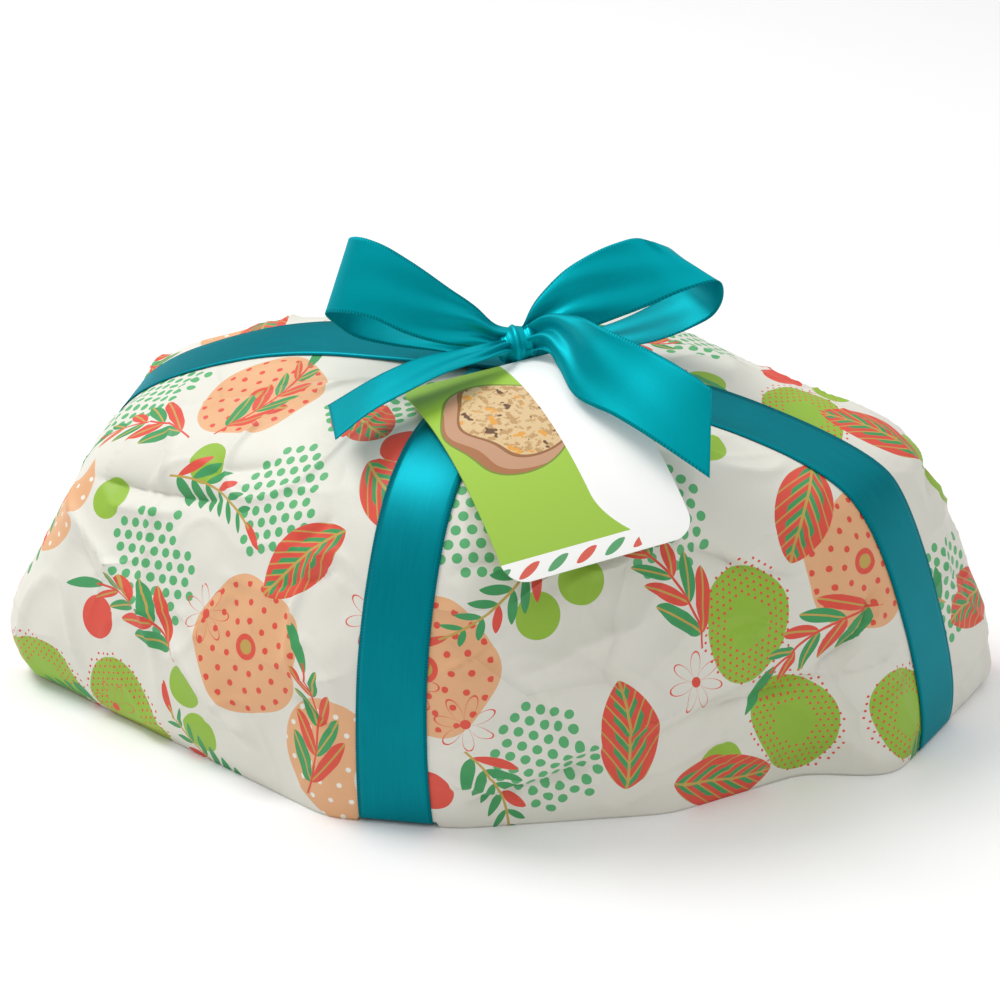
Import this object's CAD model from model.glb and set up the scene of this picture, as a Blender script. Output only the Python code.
"""The wrapped colomba easter bread in soft daylight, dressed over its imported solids."""

import math

import bmesh
import bpy
import numpy as np
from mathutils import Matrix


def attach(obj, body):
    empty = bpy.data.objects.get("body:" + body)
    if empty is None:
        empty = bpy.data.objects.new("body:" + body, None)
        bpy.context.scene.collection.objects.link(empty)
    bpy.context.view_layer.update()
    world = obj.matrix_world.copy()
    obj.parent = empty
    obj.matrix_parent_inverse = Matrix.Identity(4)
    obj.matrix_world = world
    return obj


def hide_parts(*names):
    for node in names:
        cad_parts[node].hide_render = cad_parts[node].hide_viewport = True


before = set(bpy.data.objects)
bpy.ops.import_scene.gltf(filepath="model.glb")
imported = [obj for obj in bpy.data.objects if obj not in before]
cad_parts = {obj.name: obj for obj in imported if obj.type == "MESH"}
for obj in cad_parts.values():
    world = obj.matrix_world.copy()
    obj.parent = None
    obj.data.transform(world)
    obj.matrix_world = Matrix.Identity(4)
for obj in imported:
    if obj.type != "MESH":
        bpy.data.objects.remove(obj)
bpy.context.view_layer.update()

MM = 0.001

# Paper parcel, with the same rings and folds as its solid
KNOT_X = 0.006
KNOT_Y = 0.0
PAPER_TOP = 0.122
CROWN_SHARE = 0.42
# hem x, hem y, hem z, foot in, waist in, waist z, shoulder in, shoulder z, crown z
CORNERS = {
    "tail_back": (0.186, 0.055, 0.010, 0.008, 0.028, 0.085, 0.039, 0.101, 0.126),
    "back_right": (0.040, 0.122, 0.024, 0.002, 0.014, 0.066, 0.031, 0.120, 0.132),
    "back_left": (-0.028, 0.123, 0.024, 0.002, 0.006, 0.062, 0.050, 0.092, 0.127),
    "head_back": (-0.178, 0.044, 0.020, 0.005, 0.007, 0.074, 0.034, 0.106, 0.134),
    "head_front": (-0.183, -0.077, 0.012, 0.021, 0.036, 0.071, 0.053, 0.098, 0.124),
    "front_left": (-0.018, -0.124, 0.021, 0.001, 0.007, 0.070, 0.036, 0.119, 0.126),
    "front_right": (0.028, -0.121, 0.022, 0.007, 0.001, 0.076, 0.027, 0.120, 0.125),
    "wing_right": (0.093, -0.082, 0.018, 0.002, 0.010, 0.066, 0.034, 0.114, 0.125),
    "notch": (0.130, -0.039, 0.028, 0.001, 0.002, 0.065, 0.027, 0.115, 0.125),
    "tail_front": (0.159, -0.033, 0.015, 0.001, 0.020, 0.081, 0.044, 0.107, 0.119),
}
HEM_X, HEM_Y, HEM_Z, FOOT_IN, WAIST_IN, WAIST_Z, SHOULDER_IN, SHOULDER_Z, CROWN_Z = range(9)
ROUND_DEG = {"crown": 7.0, "shoulder": 4.5, "waist": 3.5, "hem": 2.2, "foot": 2.2}
DIRECTION_STEP_DEG = 0.5
PAPER_DIRECTIONS = 560
PAPER_ROWS = 150
BASE_RECESS = 2.4 * MM
BASE_RIM = 3.5 * MM

# Folds: direction in degrees and share of the way down at the start, the same at the end, and
# the height, the width and the roundness of the crest in mm
FOLDS = [
    (-162, 0.56, -134, 0.76, 2.2, 8, 0.9),
    (-136, 0.73, -114, 0.90, 1.8, 8, 0.9),
    (-158, 0.52, -132, 0.47, -2.0, 8, 0.9),
    (-80, 0.95, -54, 0.85, -1.8, 7, 0.8),
    (-68, 0.85, -36, 0.74, 1.8, 9, 0.9),
    (-40, 0.79, -19, 0.81, -1.8, 6, 0.8),
    (-38, 0.48, -17, 0.59, -2.0, 7, 0.8),
    (-19, 0.78, -7, 0.66, -1.8, 5, 0.8),
    (98, 0.52, 138, 0.74, 2.0, 9, 0.9),
    (64, 0.58, 24, 0.80, 2.2, 8, 0.9),
    (112, 0.90, 74, 0.78, -1.8, 7, 0.9),
    (148, 0.50, 170, 0.76, -2.0, 8, 0.9),
    (32, 0.44, 8, 0.62, -2.0, 7, 0.9),
    (160, 0.86, 190, 0.70, 1.8, 8, 0.9),
]
# Small creases in the paper between the folds
CREASES = [
    (-153, 0.57, -140, 0.53, 1.7, 3, 0.3),
    (-128, 0.80, -112, 0.93, 1.5, 3, 0.3),
    (-76, 0.93, -60, 0.83, 1.7, 3, 0.3),
    (-72, 0.90, -52, 0.90, 1.3, 3, 0.3),
    (-62, 0.80, -42, 0.82, -1.3, 3, 0.3),
    (-32, 0.80, -20, 0.83, 1.7, 3, 0.3),
    (-30, 0.50, -16, 0.62, 1.7, 3, 0.3),
    (-22, 0.55, -14, 0.52, -1.5, 3, 0.3),
    (-15, 0.72, -8, 0.70, 1.5, 2, 0.3),
    (-16, 0.90, -11, 0.98, 1.9, 3, 0.4),
    (5, 0.66, 14, 0.64, 1.3, 2, 0.3),
    (6, 0.73, 16, 0.75, -1.3, 2, 0.3),
    (-100, 0.62, -94, 0.60, 0.9, 2, 0.3),
    (-86, 0.70, -79, 0.74, 0.9, 2, 0.3),
    (100, 0.62, 116, 0.60, 1.5, 3, 0.3),
    (84, 0.80, 62, 0.88, 1.7, 3, 0.3),
    (124, 0.82, 146, 0.86, 1.5, 3, 0.3),
    (40, 0.66, 26, 0.76, 1.5, 3, 0.3),
    (172, 0.60, 178, 0.72, 1.3, 2, 0.3),
    (150, 0.66, 164, 0.70, 1.5, 3, 0.3),
    (-72, 0.70, -50, 0.61, 2.4, 3, 0.3),
    (-62, 0.64, -47, 0.74, -2.0, 3, 0.3),
    (-85, 0.84, -66, 0.97, 2.4, 3, 0.3),
    (-54, 0.91, -30, 0.83, 2.2, 3, 0.3),
    (-46, 0.68, -34, 0.60, 2.2, 3, 0.3),
    (-36, 0.88, -22, 0.95, 2.0, 3, 0.3),
]
CREASE_COUNT = 46
CREASE_ROUND = 0.25
# A sharp crest on each fold, as shares of the fold's height and width
CREST_RISE = 1.4
CREST_SHARE = 0.3
CREST_ROUND = 0.2
# Height and length of the paper's soft waves and of its ridges
WAVES = ((0.8 * MM, 0.055), (0.3 * MM, 0.020))
RIDGES = ((1.7 * MM, 0.070), (0.8 * MM, 0.038))
RIDGE_SHARPNESS = 7
PAPER_SEED = 11
FOLD_STEPS = 10
FOLD_FADE = 0.25
FOLD_APEX_SHARE = 0.15
FOLD_FOOT_SHARE = 0.06
RIBBON_CALM = 0.017
RIBBON_EASE = 0.012
GROOVE_MARGIN = 0.8 * MM

# Satin ribbon
RIBBON_WIDTH = 0.025
RIBBON_THICKNESS = 0.35 * MM
PAPER_CLEARANCE = 0.45 * MM
CROSSING_CLEARANCE = 0.45 * MM
CROSS_UNDER_Z = 1.5 * MM
LONG_UNDER_Z = 0.75 * MM
SECTION_CENTRE_Z = 0.055
STATION_LENGTH = 3.5 * MM
STATION_TURN = math.radians(5)
RIBBON_ROWS = 11

# Bow
BOW_CENTRE = (0.0103, -0.0096, 0.1347)
BOW_TURN = math.radians(20)
KNOT_HALF = (8.2 * MM, 7.5 * MM, 6.8 * MM)
LOOP_STATIONS = 110
TAIL_STATIONS = 64
BOW_ROWS = 19
BOW_THICKNESS = 0.4 * MM
KNOT_AROUND = 72
KNOT_ALONG = 40
KNOT_STRIP_STEP = 0.7 * MM
KNOT_STRIP_WIDTH = 0.6 * RIBBON_WIDTH
# Stations of each strand in mm in the bow's frame: centre, the way from the lower edge to the upper
# edge, and the width
LEFT_LOOP = [
    ((-2.0, -1.0, 2.0), (0.0, 0.3, 0.9), 8),
    ((-7.8, -2.4, 3.6), (0.0, 3.0, 8.4), 9),
    ((-14.5, -3.6, 7.6), (0.0, 6.5, 13.0), 14),
    ((-24.7, -6.0, 12.6), (0.5, 9.5, 17.3), 20),
    ((-38.3, -7.8, 20.2), (2.5, 11.5, 22.4), 25),
    ((-49.6, -6.6, 25.9), (3.9, 11.5, 23.9), 26),
    ((-59.0, -3.0, 26.9), (6.4, 11.0, 24.1), 27),
    ((-63.4, 3.0, 24.1), (8.5, 11.0, 24.5), 27),
    ((-60.4, 9.5, 16.4), (7.8, 15.0, 21.0), 26),
    ((-52.4, 11.0, 8.3), (9.0, 19.0, 13.0), 25),
    ((-42.0, 10.0, 3.8), (7.0, 19.5, 8.0), 23),
    ((-28.2, 7.5, 0.0), (4.0, 14.0, 3.0), 17),
    ((-15.9, 5.5, -2.8), (2.0, 8.0, 1.5), 10),
    ((-2.0, 2.5, -3.2), (0.5, 6.0, 1.0), 7),
]
RIGHT_LOOP = [
    ((2.0, -0.5, 2.5), (-0.2, 0.3, 0.9), 8),
    ((6.5, 1.0, 5.4), (-7.0, 3.0, 8.0), 11),
    ((12.7, 1.0, 10.6), (-11.3, 8.0, 9.9), 17),
    ((19.8, 0.5, 16.1), (-9.9, 11.0, 16.7), 22),
    ((29.2, 0.2, 21.3), (-8.9, 11.5, 19.6), 24.5),
    ((40.3, 0.5, 25.9), (-9.9, 11.0, 17.9), 25),
    ((50.8, 1.5, 29.3), (-14.1, 9.0, 12.5), 25),
    ((59.2, 3.0, 29.2), (-19.8, 6.0, 10.9), 25),
    ((63.6, 7.5, 23.4), (-13.4, 13.0, 8.8), 25),
    ((64.0, 10.0, 14.3), (-7.8, 20.0, 5.1), 25),
    ((57.2, 10.5, 8.4), (-7.1, 23.0, 3.2), 25),
    ((48.4, 10.0, 4.0), (-5.0, 24.0, 2.1), 25),
    ((36.2, 8.0, 0.2), (-5.3, 18.0, 1.0), 20),
    ((22.0, 6.0, -2.0), (-5.0, 10.0, 1.2), 12),
    ((10.0, 4.5, -3.0), (-2.0, 7.0, 1.0), 8),
    ((2.0, 2.5, -3.2), (-1.0, 6.0, 1.0), 7),
]
LEFT_TAIL = [
    ((-1.0, -2.0, -0.5), (0.2, 0.9, 0.3), 7),
    ((-5.0, -9.5, 2.4), (1.0, 9.0, 2.5), 9),
    ((-11.5, -17.5, 3.4), (3.0, 12.0, 2.0), 13),
    ((-24.0, -27.0, 3.6), (4.4, 19.5, 1.3), 20),
    ((-35.5, -35.0, 2.3), (5.4, 24.1, 3.5), 25),
    ((-47.7, -44.0, -0.5), (3.0, 24.5, 4.0), 25),
    ((-62.4, -53.8, -7.2), (-4.0, 24.6, 1.9), 25),
]
RIGHT_TAIL = [
    ((1.0, -2.0, 0.5), (-0.2, 0.6, 0.7), 7),
    ((9.0, -7.5, 6.8), (1.0, 9.0, 7.0), 13),
    ((16.0, -21.0, 9.0), (5.0, 12.0, 13.0), 20),
    ((24.0, -40.0, 8.5), (8.8, 10.0, 21.5), 25),
    ((38.2, -53.0, 6.0), (12.4, 10.5, 19.5), 25),
    ((51.5, -65.6, 2.0), (9.0, 10.5, 20.8), 25.5),
    ((62.0, -72.2, -3.4), (0.6, 12.5, 26.9), 29.0),
]

# Card
CARD_WIDTH = 0.0663
CARD_LENGTH = 0.102
CARD_CORNER = 0.008
CARD_THICKNESS = 0.6 * MM
CARD_ROOT = (-10.6 * MM, -11.4 * MM, -5.3 * MM)
CARD_TURN = math.radians(21.8)
CARD_ROLL = math.radians(6)
CARD_SLOPE_TOP = math.radians(-7)
CARD_SLOPE_END = math.radians(45)
CARD_COLUMNS = 18
CARD_ROWS = 26
CARD_CORNER_ROWS = 10
CARD_FOOT = 94.5 * MM

# Print: each motif has a cell of its own on the print sheet, by kind along and by number up
CELL = 0.25
FIELD_KINDS = {"flower": 30 * MM, "dots": 29 * MM, "oval": 25 * MM, "moon": 28 * MM, "berry": 10 * MM}
LEAF_KINDS = {"sprig": 33 * MM, "leaf": 23 * MM, "fern": 30 * MM, "daisy": 12 * MM}
FIELD_ORDER = ("flower", "dots", "oval", "moon", "berry", "dots", "berry", "berry")
LEAF_ORDER = ("sprig", "leaf", "fern", "daisy")
FIELD_COUNT = 110
LEAF_COUNT = 90
FIELD_SEED = 47
LEAF_SEED = 9
# Places tried for each motif, and how close two may come as a share of their sizes
MOTIF_TRIES = 500
MOTIF_SPACING = 0.88
# Rows of cells on the print sheet, and the reach round a motif that sets how it faces
SHEET_ROWS = 16
FACING_REACH = 0.012

# Camera and light
CAMERA_AZIMUTH = 20.0
CAMERA_ELEVATION = 25.0
CAMERA_DISTANCE = 0.825
CAMERA_AIM = (0.0, 0.0, 0.068)
CAMERA_LENS = 80.0
# Light of the studio by the sine of the height over the horizon
SKY_STOPS = ((0.0, 0.72), (0.13, 0.66), (0.24, 0.16), (0.34, 0.20), (0.70, 1.0))
KEY_PLACE = (-1.1, 0.1, 1.75)
KEY_AIM = (0.0, 0.0, 0.05)
KEY_SIZE = 0.9
KEY_POWER = 20.3
FLOOR_SIZE = 8.0


def srgb(red, green, blue):
    """A display colour from 0 to 255 as the linear colour that the shaders take."""
    linear = []
    for level in (red / 255, green / 255, blue / 255):
        linear.append(level / 12.92 if level <= 0.04045 else ((level + 0.055) / 1.055) ** 2.4)
    return (*linear, 1.0)


def turned(first, second, angle):
    """Two coordinates turned together by an angle."""
    cos, sin = math.cos(angle), math.sin(angle)
    return first * cos - second * sin, first * sin + second * cos


def smooth_round(values, sigma_deg):
    """Values on the even grid of directions, blurred round the full circle."""
    count = len(values)
    steps = np.arange(count)
    away = np.minimum(steps, count - steps) * DIRECTION_STEP_DEG
    weight = np.exp(-0.5 * (away / sigma_deg) ** 2)
    weight /= weight.sum()
    return np.real(np.fft.ifft(np.fft.fft(values) * np.fft.fft(weight)))


def ray_polygon(points, directions):
    """Distance from the origin to a closed outline round it, along each direction."""
    reach = np.full(len(directions), np.inf)
    along = np.stack([np.cos(directions), np.sin(directions)], 1)
    for start, end in zip(points, np.roll(points, -1, axis=0)):
        side = end - start
        cross = along[:, 0] * side[1] - along[:, 1] * side[0]
        cross = np.where(np.abs(cross) < 1e-12, 1e-12, cross)
        distance = (start[0] * side[1] - start[1] * side[0]) / cross
        share = (start[0] * along[:, 1] - start[1] * along[:, 0]) / cross
        hit = (distance > 0) & (share >= -1e-6) & (share <= 1 + 1e-6)
        reach = np.where(hit & (distance < reach), distance, reach)
    return reach


def paper_rings():
    """The rings of the parcel on the grid of directions: radius from the knot, and height."""
    grid = np.radians(np.arange(-180, 180, DIRECTION_STEP_DEG))
    table = np.array(list(CORNERS.values()))
    reach = table[:, [HEM_X, HEM_Y]] - (KNOT_X, KNOT_Y)
    distance = np.linalg.norm(reach, axis=1)
    unit = reach / distance[:, None]
    bearing = np.arctan2(unit[:, 1], unit[:, 0])
    crown_in = distance * (1 - CROWN_SHARE) + CROWN_SHARE * table[:, SHOULDER_IN]
    flat = np.zeros(len(table))
    rings = []
    for name, inwards, height in (
        ("crown", crown_in, table[:, CROWN_Z]),
        ("shoulder", table[:, SHOULDER_IN], table[:, SHOULDER_Z]),
        ("waist", table[:, WAIST_IN], table[:, WAIST_Z]),
        ("hem", flat, table[:, HEM_Z]),
        ("foot", table[:, FOOT_IN], flat),
    ):
        radius = ray_polygon(unit * (distance - inwards)[:, None], grid)
        level = np.interp(grid, bearing, height, period=2 * math.pi)
        sigma = ROUND_DEG[name]
        rings.append((smooth_round(radius, sigma), smooth_round(level, sigma)))
    return grid, rings


GRID, RINGS = paper_rings()


def plain_paper(directions, shares):
    """Points on the unfolded parcel: one row for each direction, from the top to the foot."""
    directions = np.asarray(directions, float)
    radius = [np.zeros_like(directions)]
    height = [np.full_like(directions, PAPER_TOP)]
    for ring_radius, ring_height in RINGS:
        radius.append(np.interp(directions, GRID, ring_radius, period=2 * math.pi))
        height.append(np.interp(directions, GRID, ring_height, period=2 * math.pi))
    control = np.stack([np.stack(radius, -1), np.stack(height, -1)], -1)
    pieces = control.shape[1] - 2
    rows = []
    for share in shares:
        piece = min(int(share * pieces), pieces - 1)
        u = share * pieces - piece
        start = control[:, piece]
        middle = control[:, piece + 1]
        end = control[:, piece + 2]
        if piece > 0:
            start = (start + middle) / 2
        if piece < pieces - 1:
            end = (middle + end) / 2
        rows.append((1 - u) ** 2 * start + 2 * u * (1 - u) * middle + u * u * end)
    profile = np.stack(rows, 1)
    return np.stack(
        [
            KNOT_X + profile[..., 0] * np.cos(directions)[:, None],
            KNOT_Y + profile[..., 0] * np.sin(directions)[:, None],
            profile[..., 1],
        ],
        -1,
    )


def smooth_step(low, high, value):
    share = np.clip((value - low) / (high - low), 0, 1)
    return share * share * (3 - 2 * share)


def fold_lift(points, fold):
    """How far one fold raises or lowers each point of the paper."""
    start_deg, start_share, end_deg, end_share = fold[:4]
    height, width, crest_width = (size * MM for size in fold[4:])
    route = []
    for step in np.linspace(0, 1, FOLD_STEPS):
        bearing = math.radians(start_deg + (end_deg - start_deg) * step)
        share = start_share + (end_share - start_share) * step
        route.append(plain_paper([bearing], [share])[0, 0])
    route = np.array(route)
    nearest = np.full(points.shape[:-1], np.inf)
    passed = np.zeros(points.shape[:-1])
    for index in range(FOLD_STEPS - 1):
        side = route[index + 1] - route[index]
        share = np.clip(((points - route[index]) @ side) / (side @ side), 0, 1)
        away = np.linalg.norm(points - route[index] - share[..., None] * side, axis=-1)
        closer = away < nearest
        nearest = np.where(closer, away, nearest)
        passed = np.where(closer, (index + share) / (FOLD_STEPS - 1), passed)
    fade = smooth_step(0, FOLD_FADE, passed) * smooth_step(0, FOLD_FADE, 1 - passed)
    crest = np.sqrt(nearest**2 + crest_width**2) - crest_width
    return height * fade * np.exp(-crest / width)


def grid_normals(points):
    """Outward normals of a grid that closes round the knot."""
    round_way = np.roll(points, -1, axis=0) - np.roll(points, 1, axis=0)
    down_way = np.gradient(points, axis=1)
    normals = np.cross(down_way, round_way)
    length = np.linalg.norm(normals, axis=-1, keepdims=True)
    return normals / np.maximum(length, 1e-12)


def soft_noise(points, rng, scale, count=24):
    """A smooth random value from -1 to 1 at each point, as a sum of waves of about that length."""
    value = np.zeros(points.shape[:-1])
    for _ in range(count):
        way = rng.normal(size=3)
        way /= np.linalg.norm(way)
        length = scale * rng.uniform(0.7, 1.6)
        value += np.cos(points @ way * (2 * math.pi / length) + rng.uniform(0, 2 * math.pi))
    return value / math.sqrt(count / 2) / 1.6


def ribbon_calm(points):
    """From 0 beneath the ribbons, where they press the paper flat, to 1 away from them."""
    x_away = np.abs(points[..., 0] - KNOT_X)
    y_away = np.abs(points[..., 1] - KNOT_Y)
    nearest = np.minimum(x_away, y_away)
    return smooth_step(RIBBON_CALM - RIBBON_EASE / 2, RIBBON_CALM + RIBBON_EASE / 2, nearest)


def scattered_creases(rng):
    """Short creases at even chances round the sides, most of them slanting down."""
    creases = []
    for number in range(CREASE_COUNT):
        bearing = 360.0 * (number + rng.uniform(0, 1)) / CREASE_COUNT - 180.0
        share = rng.uniform(0.36, 0.9)
        run = rng.uniform(7, 20) * rng.choice((-1, 1))
        fall = rng.uniform(-0.08, 0.16)
        height = rng.uniform(0.9, 2.0) * rng.choice((-1, 1))
        width = rng.uniform(1.5, 3.0)
        creases.append((bearing, share, bearing + run, share + fall, height, width, CREASE_ROUND))
    return creases


def folded_paper(directions, shares):
    """The parcel's paper with its folds, creases, waves and ridges."""
    points = plain_paper(directions, shares)
    rng = np.random.default_rng(PAPER_SEED)
    main = sum(fold_lift(points, fold) for fold in FOLDS)
    crests = [(*fold[:4], fold[4] * CREST_RISE, fold[5] * CREST_SHARE, CREST_ROUND) for fold in FOLDS]
    small = sum(fold_lift(points, fold) for fold in crests + CREASES + scattered_creases(rng))
    waves = sum(height * soft_noise(points, rng, length) for height, length in WAVES)
    ridges = 0
    for height, length in RIDGES:
        ridges += height * (1 - np.abs(soft_noise(points, rng, length))) ** RIDGE_SHARPNESS
    lift = main + (small + waves + ridges) * ribbon_calm(points)
    lift *= smooth_step(0, FOLD_APEX_SHARE, shares)
    lift *= smooth_step(0, FOLD_FOOT_SHARE, 1 - shares)
    return points + grid_normals(points) * lift[..., None]


def mesh_piece(name, vertices, faces, material):
    mesh = bpy.data.meshes.new(name)
    mesh.from_pydata(np.asarray(vertices, float).tolist(), [], faces)
    mesh.update()
    mesh.shade_smooth()
    piece = bpy.data.objects.new(name, mesh)
    bpy.context.scene.collection.objects.link(piece)
    mesh.materials.append(material)
    return piece


def grid_faces(columns, rows, closed):
    """Faces of a grid of points, a row of them for each column."""
    faces = []
    for i in range(columns if closed else columns - 1):
        j = (i + 1) % columns
        for k in range(rows - 1):
            faces.append((i * rows + k, i * rows + k + 1, j * rows + k + 1, j * rows + k))
    return faces


def set_uv(piece, name, corners):
    """Gives the piece a UV map: one pair of numbers for each face corner."""
    layer = piece.data.uv_layers.new(name=name)
    layer.data.foreach_set("uv", np.asarray(corners, np.float32).ravel())


# Layout of the print


def spread_motifs(points, areas, kinds, order, count, seed):
    """Places for the motifs on the paper, kept apart by their sizes."""
    rng = np.random.default_rng(seed)
    chance = areas / areas.sum()
    placed = []
    for number in range(count):
        kind = order[number % len(order)]
        size = kinds[kind]
        tries = points[rng.choice(len(points), MOTIF_TRIES, p=chance)]
        if placed:
            centres = np.array([item[1] for item in placed])
            sizes = np.array([kinds[item[0]] for item in placed])
            away = np.linalg.norm(tries[:, None] - centres[None], axis=2)
            room = (away - MOTIF_SPACING * (sizes + size)).min(axis=1)
            fits = np.flatnonzero(room > 0)
            if not len(fits):
                continue
            best = fits[np.argmin(room[fits])]
        else:
            best = 0
        placed.append((kind, tries[best], rng.uniform(0, 2 * math.pi)))
    return placed


def print_corners(corner_points, face_centres, face_sizes, normals_at, placed, kinds):
    """Where each face corner lies on the print sheet, by the motif that its face belongs to."""
    names = list(kinds)
    best = np.full(len(face_centres), np.inf)
    chosen = np.zeros(len(face_centres), int)
    for number, (kind, centre, _) in enumerate(placed):
        reach = np.linalg.norm(face_centres - centre, axis=1) / kinds[kind]
        closer = reach < best
        best = np.where(closer, reach, best)
        chosen = np.where(closer, number, chosen)
    owner = np.repeat(chosen, face_sizes)
    uv = np.zeros((len(corner_points), 2))
    for number, (kind, centre, turn) in enumerate(placed):
        mine = owner == number
        if not mine.any():
            continue
        normal = normals_at(centre)
        right = np.cross((0.0, 0.0, 1.0), normal)
        if np.linalg.norm(right) < 0.15:
            right = np.array((1.0, 0.0, 0.0)) - normal * normal[0]
        right /= np.linalg.norm(right)
        up = np.cross(normal, right)
        away = corner_points[mine] - centre
        flat = np.stack([away @ right, away @ up], 1)
        length = np.linalg.norm(away, axis=1)
        flat *= (length / np.maximum(np.linalg.norm(flat, axis=1), 1e-9))[:, None]
        place = np.stack(turned(flat[:, 0], flat[:, 1], -turn), 1)
        limit = 0.45 * CELL
        cell = (names.index(kind) * CELL, number % SHEET_ROWS * CELL)
        uv[mine] = np.clip(place, -limit, limit) + cell
    return uv


def make_wrap(material):
    """The paper, from the top down to the foot and over the recessed base, as a grid too."""
    directions = np.linspace(-math.pi, math.pi, PAPER_DIRECTIONS, endpoint=False)
    shares = np.linspace(0, 1, PAPER_ROWS)
    points = folded_paper(directions, shares)
    inner = points[:, -1] * 1.0
    reach = inner[:, :2] - (KNOT_X, KNOT_Y)
    distance = np.linalg.norm(reach, axis=1, keepdims=True)
    under = np.abs(inner[:, 0] - KNOT_X) < RIBBON_WIDTH / 2 + GROOVE_MARGIN
    under |= np.abs(inner[:, 1] - KNOT_Y) < RIBBON_WIDTH / 2 + GROOVE_MARGIN
    for row, height in ((-1, BASE_RECESS), (-2, BASE_RECESS * 1.1)):
        points[under, row, 2] = np.maximum(points[under, row, 2], height)
    inner[:, :2] = (KNOT_X, KNOT_Y) + reach * (distance - BASE_RIM) / distance
    inner[:, 2] = BASE_RECESS
    rows = PAPER_ROWS
    vertices = [np.array([(KNOT_X, KNOT_Y, PAPER_TOP)])]
    vertices.append(np.concatenate([points[:, 1:], inner[:, None]], 1).reshape(-1, 3))
    vertices.append(np.array([(KNOT_X, KNOT_Y, BASE_RECESS)]))
    vertices = np.concatenate(vertices)
    last = len(vertices) - 1
    faces = []
    for i in range(PAPER_DIRECTIONS):
        here = 1 + i * rows
        beside = 1 + (i + 1) % PAPER_DIRECTIONS * rows
        faces.append((0, here, beside))
        for k in range(rows - 1):
            faces.append((here + k, here + k + 1, beside + k + 1, beside + k))
        faces.append((here + rows - 1, last, beside + rows - 1))
    wrap = mesh_piece("gift_paper", vertices, faces, material)
    face_sizes = np.array([len(face) for face in faces])
    corner_index = np.concatenate([np.array(face) for face in faces])
    starts = np.concatenate([[0], np.cumsum(face_sizes)[:-1]])
    corner_points = vertices[corner_index]
    centres = np.add.reduceat(corner_points, starts) / face_sizes[:, None]
    normals = np.empty(len(faces) * 3)
    wrap.data.polygons.foreach_get("normal", normals)
    normals = normals.reshape(-1, 3)
    areas = np.empty(len(faces))
    wrap.data.polygons.foreach_get("area", areas)
    sides = centres[:, 2] > BASE_RECESS * 1.5

    def normals_at(centre):
        near = np.linalg.norm(centres - centre, axis=1) < FACING_REACH
        normal = (normals[near] * areas[near, None]).sum(axis=0)
        return normal / np.linalg.norm(normal)

    for name, kinds, order, count, seed in (
        ("fields", FIELD_KINDS, FIELD_ORDER, FIELD_COUNT, FIELD_SEED),
        ("leaves", LEAF_KINDS, LEAF_ORDER, LEAF_COUNT, LEAF_SEED),
    ):
        placed = spread_motifs(centres[sides], areas[sides], kinds, order, count, seed)
        corners = print_corners(corner_points, centres, face_sizes, normals_at, placed, kinds)
        set_uv(wrap, name, corners)
    return wrap, vertices[1:-1].reshape(PAPER_DIRECTIONS, rows, 3)


def hull(points):
    """The convex outline round points in a plane, counter-clockwise."""
    ordered = sorted(map(tuple, np.asarray(points).tolist()))
    outline = []
    for way in (ordered, ordered[::-1]):
        chain = []
        for x, y in way:
            while len(chain) > 1:
                (ax, ay), (bx, by) = chain[-2:]
                if (bx - ax) * (y - by) - (by - ay) * (x - bx) > 0:
                    break
                chain.pop()
            chain.append((x, y))
        outline += chain[:-1]
    return np.array(outline)


def widened(points, clearance):
    """The points, and round each of them a circle of points."""
    turn = np.linspace(0, 2 * math.pi, 16, endpoint=False)
    circle = clearance * np.stack([np.cos(turn), np.sin(turn)], 1)
    return (points[:, None] + circle).reshape(-1, 2)


def grid_section(grid, axis, place):
    """Points where a plane across one axis cuts a closed grid, in the plane's own two axes."""
    found = []
    for ahead in (np.roll(grid, -1, axis=0), np.roll(grid, -1, axis=1)):
        first = grid[..., axis] - place
        second = ahead[..., axis] - place
        cut = (first * second <= 0) & (np.abs(first - second) > 1e-9)
        cut &= np.linalg.norm(grid - ahead, axis=-1) < 0.02
        share = (first[cut] / (first[cut] - second[cut]))[:, None]
        found.append(grid[cut] * (1 - share) + ahead[cut] * share)
    return np.concatenate(found)[:, [1 - axis, 2]]


def station_directions(lines):
    """Directions in the section, closer together where the ribbon bends."""
    dense = np.linspace(-math.pi, math.pi, 2880, endpoint=False)
    load = np.zeros(len(dense))
    for line in lines:
        distance = ray_polygon(line, dense)
        route = np.stack([np.cos(dense), np.sin(dense)], 1) * distance[:, None]
        side = np.roll(route, -1, axis=0) - route
        heading = np.arctan2(side[:, 1], side[:, 0])
        turn = np.abs(np.angle(np.exp(1j * (heading - np.roll(heading, 1)))))
        load += np.linalg.norm(side, axis=1) / STATION_LENGTH / len(lines)
        load += turn / STATION_TURN / len(lines)
    total = np.concatenate([[0], np.cumsum(load)])
    count = int(math.ceil(total[-1]))
    wanted = np.linspace(0, total[-1], count, endpoint=False)
    return np.interp(wanted, total, np.append(dense, math.pi))


def solidify(piece, thickness):
    shell = piece.modifiers.new("thickness", "SOLIDIFY")
    shell.thickness = thickness
    shell.offset = 0
    shell.use_even_offset = True


def strip_corners(columns, rows, closed, length, width):
    """UV of a strip in metres: along it from its start, and across it from its middle."""
    across = (np.arange(rows) / (rows - 1) - 0.5) * width
    corners = []
    for i in range(columns if closed else columns - 1):
        for k in range(rows - 1):
            for a, b in ((i, k), (i, k + 1), (i + 1, k + 1), (i + 1, k)):
                corners.append((length[a], across[b]))
    return corners


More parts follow.
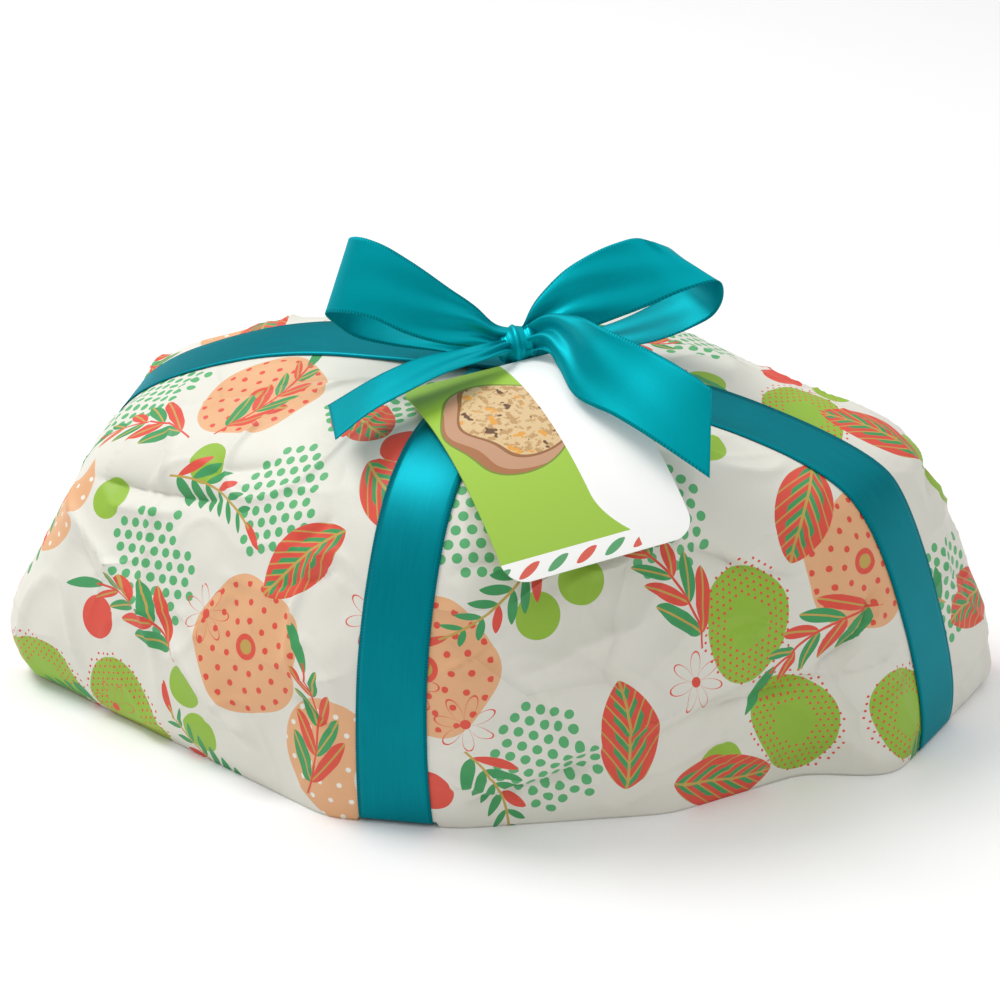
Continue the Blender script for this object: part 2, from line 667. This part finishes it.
def make_ribbon(name, clouds, axis, middle, centre, under_z, material):
    """A ribbon pulled tight round the parcel, and its middle surface."""
    offsets = np.linspace(-0.5, 0.5, RIBBON_ROWS) * RIBBON_WIDTH
    lines = []
    for offset in offsets:
        cloud = [widened(grid_section(grid, axis, middle + offset), room) for grid, room in clouds]
        lines.append(hull(np.concatenate(cloud)) - (centre, SECTION_CENTRE_Z))
    directions = station_directions(lines)
    rows = []
    for line, offset in zip(lines, offsets):
        distance = ray_polygon(line, directions)
        along = centre + distance * np.cos(directions)
        height = np.maximum(SECTION_CENTRE_Z + distance * np.sin(directions), under_z)
        across = np.full_like(along, middle + offset)
        order = (along, across, height) if axis == 1 else (across, along, height)
        rows.append(np.stack(order, -1))
    surface = np.stack(rows, 1)
    columns = len(surface)
    ribbon = mesh_piece(name, surface.reshape(-1, 3), grid_faces(columns, RIBBON_ROWS, True), material)
    middle_line = surface[:, RIBBON_ROWS // 2]
    step = np.linalg.norm(np.roll(middle_line, -1, axis=0) - middle_line, axis=1)
    length = np.concatenate([[0], np.cumsum(step)])
    set_uv(ribbon, "strip", strip_corners(columns, RIBBON_ROWS, True, length, RIBBON_WIDTH))
    solidify(ribbon, RIBBON_THICKNESS)
    return ribbon, surface


def smooth_curve(points, count):
    """Even places along a Catmull-Rom curve through rows of numbers."""
    points = np.asarray(points, float)
    chord = np.linalg.norm(np.diff(points[:, :3], axis=0), axis=1)
    knots = np.concatenate([[0], np.cumsum(chord)])
    slope = np.gradient(points, knots, axis=0)
    wanted = np.linspace(0, knots[-1], count)
    index = np.clip(np.searchsorted(knots, wanted, side="right") - 1, 0, len(chord) - 1)
    span = chord[index][:, None]
    u = ((wanted - knots[index]) / chord[index])[:, None]
    return (
        (2 * u**3 - 3 * u**2 + 1) * points[index]
        + (u**3 - 2 * u**2 + u) * span * slope[index]
        + (3 * u**2 - 2 * u**3) * points[index + 1]
        + (u**3 - u**2) * span * slope[index + 1]
    )


def strand_surface(stations, count, pleats, depth, fade, both_ends):
    """A length of the bow's ribbon with pleats where it is gathered at the knot."""
    rows = []
    for centre, edge, width in stations:
        unit = np.array(edge) / np.linalg.norm(edge)
        rows.append([*centre, *(unit * width)])
    curve = smooth_curve(np.array(rows) * MM, count)
    share = np.linspace(-0.5, 0.5, BOW_ROWS)
    surface = curve[:, None, :3] + share[None, :, None] * curve[:, None, 3:]
    step = np.linalg.norm(np.diff(curve[:, :3], axis=0), axis=1)
    length = np.concatenate([[0], np.cumsum(step)])
    along = np.gradient(surface, axis=0)
    across = np.gradient(surface, axis=1)
    normal = np.cross(along, across)
    normal /= np.maximum(np.linalg.norm(normal, axis=-1, keepdims=True), 1e-12)
    from_end = np.minimum(length, length[-1] - length) if both_ends else length
    strength = np.exp(-((from_end / fade) ** 1.5))
    wave = np.cos(2 * math.pi * pleats * share[None, :] + 3.0 * from_end[:, None] / fade)
    surface = surface + normal * (depth * strength[:, None] * wave)[..., None]
    return surface, length


def in_bow_frame(points):
    """Places in the bow's frame as places in the scene."""
    right, back, up = np.moveaxis(np.asarray(points), -1, 0)
    x, y = turned(right, back, BOW_TURN)
    return np.stack([x, y, up], -1) + BOW_CENTRE


def knot_surface():
    """The knot: a barrel of pleated ribbon, slanted a little."""
    turn = np.linspace(0, 2 * math.pi, KNOT_AROUND, endpoint=False)
    tilt = np.linspace(0, math.pi, KNOT_ALONG)
    right = -np.cos(tilt)[None, :] * np.ones((KNOT_AROUND, 1))
    ring = np.sin(tilt)[None, :] ** 0.8
    slanted = 9 * right + 4.0 * np.sin(turn)[:, None] + 0.8 * np.sin(2 * turn)[:, None]
    pleat = (0.09 * np.cos(slanted) + 0.03 * np.cos(2.3 * slanted)) * ring
    back = np.cos(turn)[:, None] * (ring + pleat)
    up = np.sin(turn)[:, None] * (ring + pleat)
    return np.stack([right + 0.20 * up, back, up], -1) * KNOT_HALF


def make_bow(material):
    """Loops and tails as one piece, and the knot as another."""
    strips = (
        (LEFT_LOOP, LOOP_STATIONS, 2.0, 1.4 * MM, 27 * MM, True),
        (RIGHT_LOOP, LOOP_STATIONS, 2.0, 1.4 * MM, 27 * MM, True),
        (LEFT_TAIL, TAIL_STATIONS, 2.0, 1.0 * MM, 24 * MM, False),
        (RIGHT_TAIL, TAIL_STATIONS, 1.8, 2.0 * MM, 30 * MM, False),
    )
    vertices = []
    faces = []
    corners = []
    start = 0
    for stations, count, pleats, depth, fade, both_ends in strips:
        surface, length = strand_surface(stations, count, pleats, depth, fade, both_ends)
        vertices.append(in_bow_frame(surface).reshape(-1, 3))
        for face in grid_faces(count, BOW_ROWS, False):
            faces.append(tuple(start + index for index in face))
        corners += strip_corners(count, BOW_ROWS, False, length, RIBBON_WIDTH)
        start += count * BOW_ROWS
    bow = mesh_piece("satin_bow", np.concatenate(vertices), faces, material)
    set_uv(bow, "strip", corners)
    solidify(bow, BOW_THICKNESS)
    points = in_bow_frame(knot_surface()).reshape(-1, 3)
    knot = mesh_piece("bow_knot", points, grid_faces(KNOT_AROUND, KNOT_ALONG, True), material)
    length = np.arange(KNOT_AROUND + 1) * KNOT_STRIP_STEP
    set_uv(knot, "strip", strip_corners(KNOT_AROUND, KNOT_ALONG, True, length, KNOT_STRIP_WIDTH))
    weld = bmesh.new()
    weld.from_mesh(knot.data)
    bmesh.ops.remove_doubles(weld, verts=weld.verts[:], dist=1e-6)
    weld.to_mesh(knot.data)
    weld.free()
    return bow, knot


def card_half_width(place):
    """Half the card's width at a place along it, less at its round corners."""
    to_end = min(place, CARD_LENGTH - place)
    depth = max(CARD_CORNER - to_end, 0)
    return CARD_WIDTH / 2 - CARD_CORNER + math.sqrt(max(CARD_CORNER**2 - depth**2, 0))


def card_spot(place):
    """Forward reach and drop at a place along the card, which bends evenly."""
    bend = (CARD_SLOPE_END - CARD_SLOPE_TOP) / CARD_LENGTH
    slope = CARD_SLOPE_TOP + bend * place
    forward = (math.sin(slope) - math.sin(CARD_SLOPE_TOP)) / bend
    drop = (math.cos(CARD_SLOPE_TOP) - math.cos(slope)) / bend
    return forward, drop


def make_card(material):
    """The card: a thin bent sheet with round corners and a sharp rim."""
    turn = np.linspace(0, math.pi / 2, CARD_CORNER_ROWS)
    near = CARD_CORNER * (1 - np.cos(turn))
    middle = np.linspace(CARD_CORNER, CARD_LENGTH - CARD_CORNER, CARD_ROWS)[1:-1]
    places = np.concatenate([near, middle, CARD_LENGTH - near[::-1]])
    columns = CARD_COLUMNS
    vertices = []
    flat = []
    for place in places:
        forward, drop = card_spot(place)
        half = card_half_width(place)
        for side in np.linspace(-half, half, columns):
            vertices.append((side, -forward, -drop))
            flat.append((side, place))
    x, y, z = np.array(vertices).T
    x, z = turned(x, z, CARD_ROLL)
    x, y = turned(x, y, CARD_TURN)
    placed = in_bow_frame(np.stack([x, y, z], 1) + CARD_ROOT)
    grid = placed.reshape(len(places), columns, 3)
    normal = np.cross(np.gradient(grid, axis=1), np.gradient(grid, axis=0)).reshape(-1, 3)
    normal *= CARD_THICKNESS / 2 / np.linalg.norm(normal, axis=1, keepdims=True)
    count = len(placed)
    front = grid_faces(len(places), columns, False)
    faces = [tuple(index + count for index in face) for face in front]
    faces += [face[::-1] for face in front]
    rim = [i * columns for i in range(len(places))]
    rim += [(len(places) - 1) * columns + k for k in range(1, columns)]
    rim += [i * columns + columns - 1 for i in reversed(range(len(places) - 1))]
    rim += reversed(range(1, columns - 1))
    for here, ahead in zip(rim, rim[1:] + rim[:1]):
        faces.append((here, ahead, ahead + count, here + count))
    card = mesh_piece("gift_card", np.concatenate([placed + normal, placed - normal]), faces, material)
    card.data.set_sharp_from_angle(angle=math.radians(40))
    set_uv(card, "card", [flat[index % count] for face in faces for index in face])
    return card


# Materials


class Number:
    """A number that a material's nodes work out at each point of a surface."""

    def __init__(self, tree, socket):
        self.tree = tree
        self.socket = socket

    def apply(self, operation, *others):
        node = self.tree.nodes.new("ShaderNodeMath")
        node.operation = operation
        for socket, value in zip(node.inputs, (self, *others)):
            if isinstance(value, Number):
                self.tree.links.new(value.socket, socket)
            else:
                socket.default_value = value
        return Number(self.tree, node.outputs[0])

    def __add__(self, other):
        return self.apply("ADD", other)

    def __sub__(self, other):
        return self.apply("SUBTRACT", other)

    def __rsub__(self, other):
        return self.apply("MULTIPLY", -1.0).apply("ADD", other)

    def __mul__(self, other):
        return self.apply("MULTIPLY", other)

    __rmul__ = __mul__

    def __truediv__(self, other):
        return self.apply("DIVIDE", other)

    def __lt__(self, other):
        return self.apply("LESS_THAN", other)

    def __gt__(self, other):
        return self.apply("GREATER_THAN", other)

    def power(self, other):
        return self.apply("POWER", other)

    def smallest(self, other):
        return self.apply("MINIMUM", other)

    def largest(self, other):
        return self.apply("MAXIMUM", other)

    def floor(self):
        return self.apply("FLOOR")

    def part(self):
        return self.apply("FRACT")

    def size(self):
        return self.apply("ABSOLUTE")

    def sine(self):
        return self.apply("SINE")

    def cosine(self):
        return self.apply("COSINE")

    def root(self):
        return self.largest(0.0).apply("SQRT")


def hypot(first, second):
    """Length of the slope over two sides that meet square."""
    return (first * first + second * second).root()


def new_material(name):
    material = bpy.data.materials.new(name)
    material.use_nodes = True
    tree = material.node_tree
    return material, tree, tree.nodes["Principled BSDF"]


def set_values(node, values):
    for name, value in values.items():
        node.inputs[name].default_value = value


def uv_numbers(tree, name):
    node = tree.nodes.new("ShaderNodeUVMap")
    node.uv_map = name
    split = tree.nodes.new("ShaderNodeSeparateXYZ")
    tree.links.new(node.outputs["UV"], split.inputs[0])
    return Number(tree, split.outputs[0]), Number(tree, split.outputs[1]), node.outputs["UV"]


def object_noise(tree, scale, detail=2.0, roughness=0.5):
    place = tree.nodes.new("ShaderNodeTexCoord")
    noise = tree.nodes.new("ShaderNodeTexNoise")
    set_values(noise, {"Scale": scale, "Detail": detail, "Roughness": roughness})
    tree.links.new(place.outputs["Object"], noise.inputs["Vector"])
    return Number(tree, noise.outputs["Fac"])


def crease_network(tree, scale):
    """Faint pressed lines where flat facets of crumpled paper meet, strong in some places only."""
    place = tree.nodes.new("ShaderNodeTexCoord")
    wander = tree.nodes.new("ShaderNodeTexNoise")
    set_values(wander, {"Scale": 9.0})
    bend = tree.nodes.new("ShaderNodeVectorMath")
    bend.operation = "MULTIPLY_ADD"
    bend.inputs[1].default_value = (0.05, 0.05, 0.05)
    cells = tree.nodes.new("ShaderNodeTexVoronoi")
    cells.feature = "DISTANCE_TO_EDGE"
    set_values(cells, {"Scale": scale})
    tree.links.new(place.outputs["Object"], wander.inputs["Vector"])
    tree.links.new(wander.outputs["Color"], bend.inputs[0])
    tree.links.new(place.outputs["Object"], bend.inputs[2])
    tree.links.new(bend.outputs[0], cells.inputs["Vector"])
    line = (1.0 - Number(tree, cells.outputs["Distance"]) * 14.0).largest(0.0)
    where = ((object_noise(tree, 12.0, 1.0) - 0.45) * 5.0).largest(0.0).smallest(1.0)
    return line * line * where


def paint(tree, base, mask, color):
    """The base colour with another colour laid over it where the mask is 1."""
    mix = tree.nodes.new("ShaderNodeMix")
    mix.data_type = "RGBA"
    tree.links.new(mask.socket, mix.inputs["Factor"])
    for socket, value in ((mix.inputs["A"], base), (mix.inputs["B"], color)):
        if isinstance(value, bpy.types.NodeSocket):
            tree.links.new(value, socket)
        else:
            socket.default_value = value
    return mix.outputs["Result"]


def paint_all(tree, color, layers):
    """The colour with the layers, each a mask and a colour, laid over it in turn."""
    for mask, ink in layers:
        color = paint(tree, color, mask, ink)
    return color


def add_bump(tree, shader, height, strength, distance):
    bump = tree.nodes.new("ShaderNodeBump")
    set_values(bump, {"Strength": strength, "Distance": distance})
    tree.links.new(height.socket, bump.inputs["Height"])
    tree.links.new(bump.outputs[0], shader.inputs["Normal"])


def kind_cell(u, v):
    """The kind's number, the motif's number, and the place within the cell."""
    kind = (u / CELL + 0.5).floor()
    number = (v / CELL + 0.5).floor()
    return kind, number, u - kind * CELL, v - number * CELL


def is_kind(kind, kinds, name):
    return (kind - float(list(kinds).index(name))).size() < 0.5


def dot_grid(u, v, pitch, size):
    """Dots in staggered rows, and the middle of the dot nearest to each point."""
    row = (v / (pitch * 0.87)).floor()
    shift = row.apply("MODULO", 2.0).size() * 0.5
    column = (u / pitch + shift).floor()
    middle_u = (column - shift + 0.5) * pitch
    middle_v = (row + 0.5) * (pitch * 0.87)
    away = hypot(u - middle_u, v - middle_v)
    return away < size, middle_u, middle_v


def leaf_shape(along, across, length, width):
    """1 inside a pointed leaf that starts at 0 and runs along for its length."""
    share = along / length
    inside = (share * (1.0 - share) * 4.0).largest(0.0).power(0.75)
    return across.size() < inside * (width / 2)


def sprig_masks(u, v, length, leaf_length, leaf_width, pitch, slant_deg, bend):
    """A bent stem with leaves in pairs: masks of the stem and leaves, and each leaf's own place."""
    lean = math.radians(slant_deg)
    x = u + (length * 0.93 + leaf_length * 0.9) / 2
    y = v + bend * (x / length) * (1.0 - x / length) * 4.0
    side = y.size()
    sheared = x - side * (1 / math.tan(lean))
    index = (sheared / pitch).floor()
    local = (sheared - (index + 0.5) * pitch) * math.sin(lean)
    along = side * (1 / math.sin(lean)) + local * math.cos(lean)
    taper = 1.15 - (index + 0.5) * (pitch / length) * 0.75
    leaves = leaf_shape(along, local, leaf_length * taper, leaf_width * taper)
    span = (index > -0.5) * ((index + 1.0) * pitch < length * 0.98)
    stem = (side < 0.45 * MM) * (x > 0.0) * (x < length)
    tip = leaf_shape(x - length * 0.93, y, leaf_length * 0.9, leaf_width * 0.8)
    return stem, leaves * span, tip, index, local, y


def paper_material():
    """Cream paper with the print: the fields of colour first, then the leaves over them."""
    material, tree, shader = new_material("printed_gift_paper")
    peach = srgb(230, 176, 130)
    coral = srgb(224, 82, 66)
    lime = srgb(150, 190, 62)
    green = srgb(66, 156, 94)
    pale_green = srgb(92, 178, 116)
    ochre = srgb(196, 164, 84)
    cream = srgb(228, 226, 215)
    white = srgb(240, 236, 226)
    u, v, _ = uv_numbers(tree, "fields")
    kind, number, u, v = kind_cell(u, v)
    reach = hypot(u, v)
    angle = v.apply("ARCTAN2", u)

    # Peach flower heads with rings of coral dots
    ring_gap = 6.2 * MM
    dot_gap = 6.8 * MM
    rim = ((angle * 5.0 + number).cosine() * 0.04 + 1.0) * (24 * MM)
    flower = is_kind(kind, FIELD_KINDS, "flower") * (reach < rim)
    ring = (reach / ring_gap).floor()
    ring_reach = (ring + 0.5) * ring_gap
    many = (ring_reach * (2 * math.pi / dot_gap)).apply("ROUND")
    step = ((angle * (1 / (2 * math.pi)) + 1.0) * many).part() - 0.5
    away = hypot(step / many * ring_reach * (2 * math.pi), reach - ring_reach)
    rings = flower * (away < 1.15 * MM) * (ring > 0.5) * (reach < 22.5 * MM)
    layers = [
        (flower, peach),
        (rings, coral),
        (flower * (reach < 4.6 * MM), coral),
        (flower * (reach < 2.6 * MM), ochre),
    ]

    # Loose patches of green dots
    dots, middle_u, middle_v = dot_grid(u, v, 5.3 * MM, 1.7 * MM)
    edge = hypot(middle_u, middle_v * 1.25)
    wobble = (middle_u * 900.0 + number * 1.7).sine() * (2.5 * MM) + 22.5 * MM
    layers.append((is_kind(kind, FIELD_KINDS, "dots") * dots * (edge < wobble), pale_green))

    # Lime ovals with a scatter of fine coral dots
    is_oval = is_kind(kind, FIELD_KINDS, "oval")
    oval_reach = hypot(u, v * 1.35)
    oval_rim = (angle * 3.0 + number).sine() * (1.2 * MM) + 20.5 * MM
    fine, fine_u, fine_v = dot_grid(u, v, 2.7 * MM, 0.5 * MM)
    fine_reach = hypot(fine_u, fine_v * 1.35)
    halo = is_oval * fine * (fine_reach < 22.8 * MM) * (fine_reach > 9 * MM)
    layers += [(is_oval * (oval_reach < oval_rim), lime), (halo, coral)]

    # Peach moons with white dots
    hollow = hypot(u - 14 * MM, v - 12 * MM)
    moon = is_kind(kind, FIELD_KINDS, "moon") * (hypot(u, v * 1.2) < 24 * MM) * (hollow > 11 * MM)
    spots, _, _ = dot_grid(u, v, 7.4 * MM, 0.95 * MM)
    layers += [(moon, peach), (moon * spots, white)]

    # Berries, lime and some of them coral
    berry = is_kind(kind, FIELD_KINDS, "berry") * (reach < 8.0 * MM)
    layers += [(berry, lime), (berry * (number.apply("MODULO", 5.0) < 0.5), coral)]

    u, v, _ = uv_numbers(tree, "leaves")
    kind, number, u, v = kind_cell(u, v)
    reach = hypot(u, v)
    angle = v.apply("ARCTAN2", u)

    # Sprigs with coral and green leaves
    sprig = is_kind(kind, LEAF_KINDS, "sprig")
    stem, leaves, tip, index, local, side = sprig_masks(
        u, v, 48 * MM, 19 * MM, 6.0 * MM, 10.6 * MM, 32, 6 * MM
    )
    turn = (index + (side > 0.0)).apply("MODULO", 2.0)
    layers += [
        (sprig * leaves, coral),
        (sprig * leaves * turn, green),
        (sprig * leaves * (local.size() < 0.35 * MM), ochre),
        (sprig * tip, green),
        (sprig * stem, coral),
    ]

    # Large striped leaves
    length = 40 * MM
    x = u + length / 2
    y = v + (x / length) * (1.0 - x / length) * (7 * MM)
    leaf = is_kind(kind, LEAF_KINDS, "leaf") * leaf_shape(x, y, length, 21 * MM)
    stripe = ((x - y.size() * 1.5) / (6.5 * MM)).part()
    heart = leaf_shape(x, y, length, 12 * MM)
    layers += [
        (leaf, coral),
        (leaf * (stripe < 0.42) * heart, green),
        (leaf * (stripe > 0.42) * (stripe < 0.56), ochre),
        (leaf * (y.size() < 0.5 * MM), ochre),
    ]

    # Ferns
    fern = is_kind(kind, LEAF_KINDS, "fern")
    stem, leaves, tip, index, local, side = sprig_masks(
        u, v, 46 * MM, 13 * MM, 4.0 * MM, 6.8 * MM, 44, -5 * MM
    )
    layers += [
        (fern * leaves, green),
        (fern * leaves * (side > 0.0) * (index.apply("MODULO", 3.0) < 0.5), coral),
        (fern * tip, coral),
        (fern * stem, ochre),
    ]

    # Daisies in coral line
    petal = (angle * 3.5).sine().size() * (9.0 * MM) + 1.5 * MM
    line = ((reach - petal).size() < 0.32 * MM) + (reach < 1.8 * MM)
    layers.append((is_kind(kind, LEAF_KINDS, "daisy") * line.smallest(1.0), coral))
    color = paint_all(tree, cream, layers)

    # Slight unevenness of the ink and the paper
    shade = (object_noise(tree, 26.0, 3.0) - 0.5) * 0.10 + 0.98
    scale = tree.nodes.new("ShaderNodeVectorMath")
    scale.operation = "SCALE"
    tree.links.new(color, scale.inputs[0])
    tree.links.new(shade.socket, scale.inputs["Scale"])
    tree.links.new(scale.outputs[0], shader.inputs["Base Color"])
    set_values(shader, {"Specular IOR Level": 0.35})
    rough = object_noise(tree, 90.0, 3.0) * 0.14 + 0.42
    tree.links.new(rough.socket, shader.inputs["Roughness"])
    crumple = object_noise(tree, 55.0, 4.0, 0.6)
    relief = crumple * (0.6 * MM) + crease_network(tree, 17.0) * (1.4 * MM)
    add_bump(tree, shader, relief, 0.6, 1.0)
    return material


def satin_material(name, deep, light):
    """Teal satin: fine threads along, a ribbed selvedge on both edges, and a soft sheen."""
    material, tree, shader = new_material(name)
    u, v, vector = uv_numbers(tree, "strip")
    edge = v.size()
    border = edge > 11.4 * MM
    rib = (u * (2 * math.pi / (1.05 * MM))).sine() * 0.5 + 0.5
    thread = (v * (2 * math.pi / (0.42 * MM))).sine() * 0.5 + 0.5
    weft = (u * (2 * math.pi / (0.6 * MM))).sine() * 0.5 + 0.5
    tone = object_noise(tree, 45.0, 3.0)
    stretch = tree.nodes.new("ShaderNodeMapping")
    set_values(stretch, {"Scale": (60.0, 1500.0, 1.0)})
    tree.links.new(vector, stretch.inputs["Vector"])
    streaks = tree.nodes.new("ShaderNodeTexNoise")
    set_values(streaks, {"Scale": 1.0, "Detail": 2.0})
    tree.links.new(stretch.outputs[0], streaks.inputs["Vector"])
    streak = Number(tree, streaks.outputs["Fac"])
    color = paint(tree, deep, tone, light)
    color = paint(tree, color, streak * 0.30, srgb(10, 176, 186))
    color = paint(tree, color, border * rib * 0.6, srgb(0, 92, 104))
    tree.links.new(color, shader.inputs["Base Color"])
    rough = streak * 0.10 + 0.37 + border * 0.2
    tree.links.new(rough.socket, shader.inputs["Roughness"])
    look = {
        "Metallic": 0.6,
        "Specular IOR Level": 0.3,
        "Specular Tint": srgb(90, 225, 235),
        "Anisotropic": 0.5,
        "Sheen Weight": 0.15,
        "Sheen Roughness": 0.4,
        "Sheen Tint": srgb(0, 190, 205),
    }
    set_values(shader, look)
    tangent = tree.nodes.new("ShaderNodeTangent")
    tangent.direction_type = "UV_MAP"
    tangent.uv_map = "strip"
    tree.links.new(tangent.outputs[0], shader.inputs["Tangent"])
    height = thread * 0.25 + weft * 0.10 + border * rib * 1.2 + streak * 0.3
    add_bump(tree, shader, height, 0.35, 0.12 * MM)
    return material


def card_material():
    """Thin card: a lime field with a slice of cake, a bare white side and leaves at the foot."""
    material, tree, shader = new_material("printed_card")
    x, y, _ = uv_numbers(tree, "card")
    low = (y - 78 * MM).largest(0.0)
    green = (x < low * low * 29.0 + 4.4 * MM) * (y < CARD_FOOT)

    # Slice of cake, with its crust on the lower left
    slice_x = x + 10.0 * MM
    slice_y = y - 39 * MM
    wobble = (slice_y * 260.0 + slice_x * 90.0).sine() * (0.9 * MM)
    reach = hypot(slice_x, slice_y * 0.82) + wobble
    inner = hypot(slice_x - 5.5 * MM, (slice_y + 5.0 * MM) * 0.84) + wobble * 1.6
    crust = green * (reach < 20.5 * MM)
    rind = crust * (inner < 19.5 * MM)
    crumb = rind * (inner < 18.4 * MM)
    fine = object_noise(tree, 420.0, 3.0, 0.65)
    holes = object_noise(tree, 190.0, 2.0, 0.5)

    # Small leaves in a row at the foot, green and coral by turns
    pitch = 10 * MM
    foot = (y > CARD_FOOT) * (x < 14 * MM)
    leaf_x = (x / pitch).part() * pitch
    leaf_y = y - 98.5 * MM + (leaf_x - pitch / 2) * 0.45
    leaf = foot * leaf_shape(leaf_x - 0.8 * MM, leaf_y, 8.6 * MM, 3.0 * MM)
    odd = (x / pitch).floor().apply("MODULO", 2.0).size()
    layers = (
        (green, srgb(160, 200, 66)),
        (green * (reach < 21.2 * MM), srgb(120, 140, 50)),
        (crust, srgb(196, 150, 118)),
        (crust * (inner > 24.5 * MM), srgb(170, 112, 70)),
        (rind, srgb(150, 100, 58)),
        (crumb, srgb(220, 190, 142)),
        (crumb * (fine < 0.46), srgb(190, 150, 98)),
        (crumb * (holes > 0.63), srgb(226, 160, 66)),
        (crumb * (holes < 0.37), srgb(104, 70, 44)),
        (leaf, srgb(92, 166, 110)),
        (leaf * odd, srgb(222, 96, 78)),
    )
    tree.links.new(paint_all(tree, srgb(253, 253, 250), layers), shader.inputs["Base Color"])
    set_values(shader, {"Roughness": 0.32, "Specular IOR Level": 0.45})
    add_bump(tree, shader, object_noise(tree, 700.0, 2.0), 0.15, 0.2 * MM)
    return material


def floor_material():
    material, tree, shader = new_material("pale_floor")
    tone = object_noise(tree, 3.0, 1.0)
    color = paint(tree, (0.93, 0.93, 0.93, 1.0), tone, (0.95, 0.95, 0.95, 1.0))
    tree.links.new(color, shader.inputs["Base Color"])
    set_values(shader, {"Roughness": 0.6, "Specular IOR Level": 0.1})
    return material


def add_key_light():
    data = bpy.data.lights.new("key", "AREA")
    data.shape = "DISK"
    data.size = KEY_SIZE
    data.energy = KEY_POWER
    light = bpy.data.objects.new("key", data)
    light.location = KEY_PLACE
    light.rotation_euler = look_angles(np.subtract(KEY_AIM, KEY_PLACE))
    bpy.context.scene.collection.objects.link(light)


def look_angles(way):
    """Angles that turn an object's -Z the way given, with its +Y up."""
    x, y, z = way
    return (math.pi / 2 + math.atan2(z, math.hypot(x, y)), 0.0, math.atan2(-x, y))


def overhead_light(tree):
    """Soft light from all round: pale at the horizon, dim above it and bright overhead."""
    background = tree.nodes["Background"]
    way = tree.nodes.new("ShaderNodeTexCoord")
    split = tree.nodes.new("ShaderNodeSeparateXYZ")
    tree.links.new(way.outputs["Generated"], split.inputs[0])
    ramp = tree.nodes.new("ShaderNodeValToRGB")
    ramp.color_ramp.interpolation = "EASE"
    stops = ramp.color_ramp.elements
    while len(stops) < len(SKY_STOPS):
        stops.new(0.5)
    for stop, (height, level) in zip(stops, SKY_STOPS):
        stop.position = height
        stop.color = (level, level, level, 1.0)
    tree.links.new(split.outputs[2], ramp.inputs[0])
    tree.links.new(ramp.outputs[0], background.inputs["Color"])


def set_stage():
    """Floor, light and camera."""
    bpy.ops.mesh.primitive_plane_add(size=FLOOR_SIZE, location=(0.0, 0.0, 0.0))
    floor = bpy.context.object
    floor.name = "floor"
    floor.data.materials.append(floor_material())
    world = bpy.data.worlds.new("studio")
    bpy.context.scene.world = world
    world.use_nodes = True
    overhead_light(world.node_tree)
    add_key_light()
    camera_data = bpy.data.cameras.new("camera")
    camera_data.lens = CAMERA_LENS
    camera_data.sensor_width = 36.0
    camera = bpy.data.objects.new("camera", camera_data)
    azimuth, elevation = math.radians(CAMERA_AZIMUTH), math.radians(CAMERA_ELEVATION)
    level = math.cos(elevation)
    way = np.array((math.sin(azimuth) * level, -math.cos(azimuth) * level, math.sin(elevation)))
    camera.location = np.array(CAMERA_AIM) + way * CAMERA_DISTANCE
    camera.rotation_euler = look_angles(-way)
    bpy.context.scene.collection.objects.link(camera)
    bpy.context.scene.camera = camera
    bpy.context.scene.view_settings.view_transform = "Standard"


def main():
    paper = paper_material()
    satin = satin_material("teal_satin_ribbon", srgb(0, 110, 123), srgb(0, 127, 140))
    bow_satin = satin_material("teal_satin_bow", srgb(0, 158, 171), srgb(0, 172, 184))
    card_finish = card_material()
    wrap, surface = make_wrap(paper)
    cross, cross_surface = make_ribbon(
        "satin_cross", [(surface, PAPER_CLEARANCE)], 0, KNOT_X, KNOT_Y, CROSS_UNDER_Z, satin
    )
    clouds = [(surface, PAPER_CLEARANCE), (cross_surface, CROSSING_CLEARANCE)]
    long, _ = make_ribbon("satin_long", clouds, 1, KNOT_Y, KNOT_X, LONG_UNDER_Z, satin)
    bow, knot = make_bow(bow_satin)
    card = make_card(card_finish)
    for piece, node, slot in (
        (wrap, "wrap", "printed_paper"),
        (cross, "ribbon_cross", "teal_satin"),
        (long, "ribbon_long", "teal_satin"),
        (bow, "bow", "teal_satin"),
        (knot, "bow", "teal_satin"),
        (card, "tag", "card"),
    ):
        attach(piece, "root")
        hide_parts(node)
    set_stage()


main()
